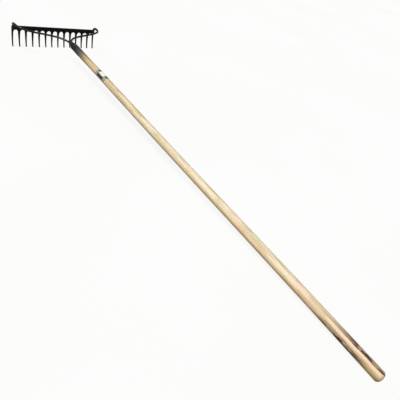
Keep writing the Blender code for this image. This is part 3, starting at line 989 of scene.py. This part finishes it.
def make_neck_welds(material):
    """Beads in the grooves above and below the two rods, from in front of the ferrule into its nose."""
    rise = math.sqrt((ROD_RADIUS + NECK_WELD_LIFT) ** 2 - TANG_X ** 2)
    for name, up in (("neck_upper_weld", rise), ("neck_lower_weld", -rise)):
        start = Vector((0.0, up, NECK_WELD_START))
        end = Vector((0.0, up, NECK_WELD_END))
        make_bead(name, start, end, NECK_WELD_RADIUS, POLE, material)


# ---- ferrule and nail

def strip_profile(middle, wall):
    """The closed outline of a strip of sheet with round edges, round its middle line."""
    half = wall / 2
    outer, inner = [], []
    for index, point in enumerate(middle):
        before = middle[max(index - 1, 0)]
        after = middle[min(index + 1, len(middle) - 1)]
        along = (after - before).normalized()
        square = Vector((along.y, -along.x))
        outer.append(point + square * half)
        inner.append(point - square * half)

    def round_end(point, edge):
        away = edge - point
        turns = [math.pi * step / FERRULE_EDGE_STEPS for step in range(1, FERRULE_EDGE_STEPS)]
        return [point + Matrix.Rotation(turn, 2) @ away for turn in turns]

    return outer + round_end(middle[-1], outer[-1]) + inner[::-1] + round_end(middle[0], inner[0])


def ferrule_middle():
    """Middle line of the wall as (radius, distance along the pole): narrow nose, shoulder, barrel."""
    half = FERRULE_WALL / 2
    first = FERRULE_FRONT + half
    last = FERRULE_REAR - half
    count = round((last - first) / FERRULE_STEP)
    points = []
    for step in range(count + 1):
        along = first + (last - first) * step / count
        widening = smooth_step(FERRULE_NOSE_END, FERRULE_SHOULDER, along)
        radius = FERRULE_NOSE_RADIUS + (FERRULE_RADIUS - FERRULE_NOSE_RADIUS) * widening
        flare = FERRULE_FLARE * smooth_step(last - FERRULE_FLARE_LENGTH, last, along)
        points.append(Vector((radius - half + flare, along)))
    return points


def ferrule_dent(angle, along):
    """Small hand-made unevenness, and the dimple round the nail."""
    around = (angle - math.pi / 2) * FERRULE_RADIUS
    distance = math.hypot(around, along - NAIL_DISTANCE)
    dimple = NAIL_DIMPLE * math.exp(-(distance / DIMPLE_REACH) ** 2)
    place = Vector((math.cos(angle), math.sin(angle), along * 45.0)) * 1.4
    return noise.noise(place) * FERRULE_UNEVENNESS - dimple


def make_ferrule(material):
    """A strip of sheet rolled round the pole's end, with an open seam underneath."""
    profile = strip_profile(ferrule_middle(), FERRULE_WALL)
    rings = []
    for step in range(FERRULE_SIDES + 1):
        share = step / FERRULE_SIDES
        angle = -math.pi / 2 + FERRULE_SEAM / 2 + (2 * math.pi - FERRULE_SEAM) * share
        ring = []
        for radius, along in profile:
            dented = radius + ferrule_dent(angle, along)
            ring.append(Vector((dented * math.cos(angle), dented * math.sin(angle), along)))
        rings.append(ring)
    add_piece("ferrule", closed_skin(rings), POLE, material)


def make_nail(material):
    """A driven nail: low domed head with hammer marks, a thin shank and a point."""
    seat = FERRULE_RADIUS - NAIL_DIMPLE - NAIL_BITE
    rim = seat + NAIL_RIM
    profile = [(NAIL_TIP_RADIUS, seat + NAIL_HEAD_HEIGHT)]
    for radius, rise in arc(0.0, 0.0, 1.0, 80, 0, NAIL_DOME_STEPS):
        profile.append((radius * NAIL_HEAD_RADIUS, rim + rise * (NAIL_HEAD_HEIGHT - NAIL_RIM)))
    profile += [
        (NAIL_HEAD_RADIUS * 0.97, seat + 0.08 * MM),
        (NAIL_HEAD_RADIUS * 0.9, seat),
        (NAIL_SHANK_RADIUS * 1.15, seat - 0.05 * MM),
        (NAIL_SHANK_RADIUS, seat - 0.5 * MM),
        (NAIL_SHANK_RADIUS, NAIL_TIP_DEPTH + NAIL_POINT),
        (NAIL_TIP_RADIUS, NAIL_TIP_DEPTH),
    ]
    rings = []
    for radius, up in profile:
        marks = NAIL_MARKS if up > seat else 0.0
        ring = []
        for step in range(NAIL_SIDES):
            angle = 2 * math.pi * step / NAIL_SIDES
            x, z = radius * math.cos(angle), radius * math.sin(angle)
            mark = noise.noise(Vector((x, z, 0.0)) * 420.0) * marks
            ring.append(Vector((x, up + mark, NAIL_DISTANCE + z)))
        rings.append(ring)
    add_piece("ferrule_nail", closed_skin(rings), POLE, material)


# ---- pole and label

def pole_radius(along):
    share = (along - FERRULE_REAR) / (POLE_END - FERRULE_REAR)
    return POLE_FRONT_RADIUS + (POLE_BUTT_RADIUS - POLE_FRONT_RADIUS) * share


def pole_middle(along):
    """Where the pole's middle wanders to; it is true inside the ferrule and at the butt."""
    hold = smooth_step(CROOK_START, CROOK_FULL, along)
    hold *= smooth_step(POLE_END, POLE_END - CROOK_FADE, along)
    return Vector([
        math.sin(along * pace + phase) * POLE_CROOK * share * hold for pace, phase, share in CROOK_WAVES])


def pole_relief(angle, along):
    """Height of the pole's surface over a true cone: long flats, knots and small dents."""
    hold = smooth_step(RELIEF_START, RELIEF_FULL, along)
    turned = Vector((math.cos(angle), math.sin(angle), 0.0))
    lengthwise = Vector((0.0, 0.0, along))
    flats = noise.noise(turned * 1.6 + lengthwise * 5.0) * POLE_FLATS
    grain = noise.noise(turned * 6.0 + lengthwise * 40.0) * POLE_GRAIN
    relief = (flats + grain) * hold
    for distance, knot_angle, radius in KNOTS:
        turn = (angle - knot_angle + math.pi) % (2 * math.pi) - math.pi
        reach = math.hypot(turn * pole_radius(distance), (along - distance) * KNOT_SQUEEZE) / radius
        relief += KNOT_RISE * math.exp(-reach ** 2)
    return relief


def pole_point(angle, along, lift=0.0, radius=None):
    """A point on the pole's surface, or lifted from it, in the pole frame."""
    middle = pole_middle(along)
    if radius is None:
        radius = pole_radius(along) + pole_relief(angle, along)
    reach = radius + lift
    return Vector((middle.x + reach * math.cos(angle), middle.y + reach * math.sin(angle), along))


def pole_ring(along, radius=None, share=1.0):
    """A ring of points round the pole, drawn in towards its middle where the share is under 1."""
    ring = []
    for step in range(POLE_SIDES):
        angle = 2 * math.pi * step / POLE_SIDES
        ring.append(pole_point(angle, along, radius=radius))
    if share < 1.0:
        middle = pole_middle(along)
        centre = Vector((middle.x, middle.y, along))
        ring = [centre.lerp(point, share) for point in ring]
    return ring


def tang_slot():
    """A slot with round ends in the pole's front end, for both tangs."""
    radius = ROD_RADIUS + SLOT_CLEARANCE
    outline = arc(TANG_X, 0.0, radius, -90, 90, SLOT_ARC_STEPS)
    outline += arc(-TANG_X, 0.0, radius, 90, 270, SLOT_ARC_STEPS)
    rings = [[Vector((x, y, along)) for x, y in outline] for along in (SLOT_FRONT, SLOT_END)]
    return add_object("tang_slot", finish_mesh("tang_slot", closed_skin(rings)))


def make_pole(material):
    """The pole from its worn round butt to the tenon that fills the ferrule."""
    rings = []
    dome_base = POLE_END - BUTT_DOME
    for share, rise in arc(0.0, 0.0, 1.0, 86, 6, BUTT_DOME_STEPS):
        rings.append(pole_ring(dome_base + rise * BUTT_DOME, share=share))
    count = round((dome_base - SHOULDER) / POLE_STEP)
    for step in range(count + 1):
        rings.append(pole_ring(dome_base + (SHOULDER - dome_base) * step / count))
    for radius, along in (
            (TENON_RADIUS, SHOULDER), (TENON_RADIUS, SHOULDER - TENON_RING),
            (TENON_RADIUS, POLE_FRONT + TENON_CHAMFER), (TENON_RADIUS - TENON_CHAMFER, POLE_FRONT)):
        rings.append(pole_ring(along, radius=radius))
    mesh = finish_mesh("pole_blank", closed_skin(rings))
    slot = tang_slot()
    mesh = apply_modifiers("pole", mesh, [
        ("slot", "BOOLEAN", {"operation": "DIFFERENCE", "solver": "EXACT", "object": slot})])
    bpy.data.objects.remove(slot, do_unlink=True)
    add_piece("handle", reopened(mesh), POLE, material)


def make_label(material):
    """A thin film with round corners that follows the wood; its rear corner has begun to lift."""
    rings = []
    for row in range(LABEL_ROWS + 1):
        along = LABEL_START + LABEL_LENGTH * row / LABEL_ROWS
        to_end = min(along - LABEL_START, LABEL_START + LABEL_LENGTH - along)
        missing = max(LABEL_CORNER - to_end, 0.0)
        inset = (LABEL_CORNER - math.sqrt(LABEL_CORNER ** 2 - missing ** 2)) / pole_radius(along)
        low = LABEL_MIDDLE - LABEL_WRAP / 2 + inset
        high = LABEL_MIDDLE + LABEL_WRAP / 2 - inset
        rear = smooth_step(0.78, 1.0, row / LABEL_ROWS)
        ring = []
        for column in range(LABEL_COLUMNS + 1):
            share = column / LABEL_COLUMNS
            peel = LABEL_PEEL * rear * smooth_step(0.9, 1.0, share)
            ring.append(pole_point(low + (high - low) * share, along, LABEL_LIFT + peel))
        rings.append(ring)
    edit = bmesh.new()
    skin(edit, rings, closed=False)
    bmesh.ops.recalc_face_normals(edit, faces=edit.faces)
    mesh = apply_modifiers("label", plain_mesh("label_sheet", edit), [
        ("film", "SOLIDIFY", {"thickness": LABEL_THICKNESS, "offset": 0.0, "use_even_offset": True})])
    add_piece("label", reopened(mesh), POLE, material)


# ---- stage, light and camera

def make_floor():
    """A pale floor that gives most of its light itself, so that only a faint shadow falls on it."""
    material, tree, shader = new_material("studio_floor")
    colour = clouded(tree, cloud(tree, object_place(tree), 1.2, detail=2.0), FLOOR_SHADES)
    diffuse = mixed(tree, FLOOR_DIFFUSE, (0.0, 0.0, 0.0), colour)
    tree.links.new(diffuse, shader.inputs["Base Color"])
    tree.links.new(colour, shader.inputs["Emission Color"])
    shader.inputs["Emission Strength"].default_value = 1.0 - FLOOR_DIFFUSE
    shader.inputs["Roughness"].default_value = 0.9
    shader.inputs["Specular IOR Level"].default_value = 0.0
    edit = bmesh.new()
    bmesh.ops.create_grid(edit, x_segments=4, y_segments=4, size=FLOOR_SIZE)
    mesh = plain_mesh("floor", edit)
    mesh.materials.append(material)
    floor = add_object("floor", mesh)
    floor.visible_diffuse = False
    floor.visible_glossy = False


def make_light():
    """An even pale sky above, a dim one below the floor's level, and one wide soft lamp overhead."""
    world = bpy.data.worlds.new("studio")
    bpy.context.scene.world = world
    world.use_nodes = True
    tree = world.node_tree
    direction = add_node(tree, "ShaderNodeTexCoord", {}).outputs["Generated"]
    above = spread(tree, split(tree, direction)["Z"], -0.10, 0.06)
    sky = mixed(tree, above, SKY_BELOW, SKY_ABOVE)
    tree.links.new(sky, tree.nodes["Background"].inputs["Color"])

    lamp = bpy.data.lights.new("overhead", "SUN")
    lamp.energy = LAMP_POWER
    lamp.angle = LAMP_ANGLE
    lamp.color = LAMP_COLOUR
    overhead = add_object("overhead", lamp)
    overhead.rotation_euler = TOWARDS_LAMP.to_track_quat("Z", "Y").to_euler()


def make_camera():
    """A camera at the photograph's place and angle."""
    data = bpy.data.cameras.new("camera")
    data.lens = CAMERA_LENS
    data.sensor_width = CAMERA_SENSOR
    data.clip_start = CAMERA_NEAR
    data.clip_end = CAMERA_FAR
    camera = add_object("camera", data)
    turn = Matrix.Rotation(-CAMERA_HEADING, 4, "Z")
    tilt = Matrix.Rotation(math.pi / 2 + CAMERA_PITCH, 4, "X")
    roll = Matrix.Rotation(CAMERA_ROLL, 4, "Z")
    camera.matrix_world = Matrix.Translation(CAMERA_PLACE) @ turn @ tilt @ roll
    bpy.context.scene.camera = camera
    bpy.context.scene.view_settings.view_transform = "Standard"


make_camera()
make_floor()
make_light()

make_head(black_paint("head_paint_fine", 0.38, 0.18, worn_tips=True))
rod_paint = black_paint("rod_paint_fine", 0.22, 0.65)
make_rod("left", -1, rod_paint)
make_rod("right", 1, rod_paint)
bead_paint = weld_paint()
make_side_welds(bead_paint)
make_neck_welds(bead_paint)
make_ferrule(ferrule_paint())
make_nail(nail_steel())
make_pole(pole_wood())
make_label(label_film())
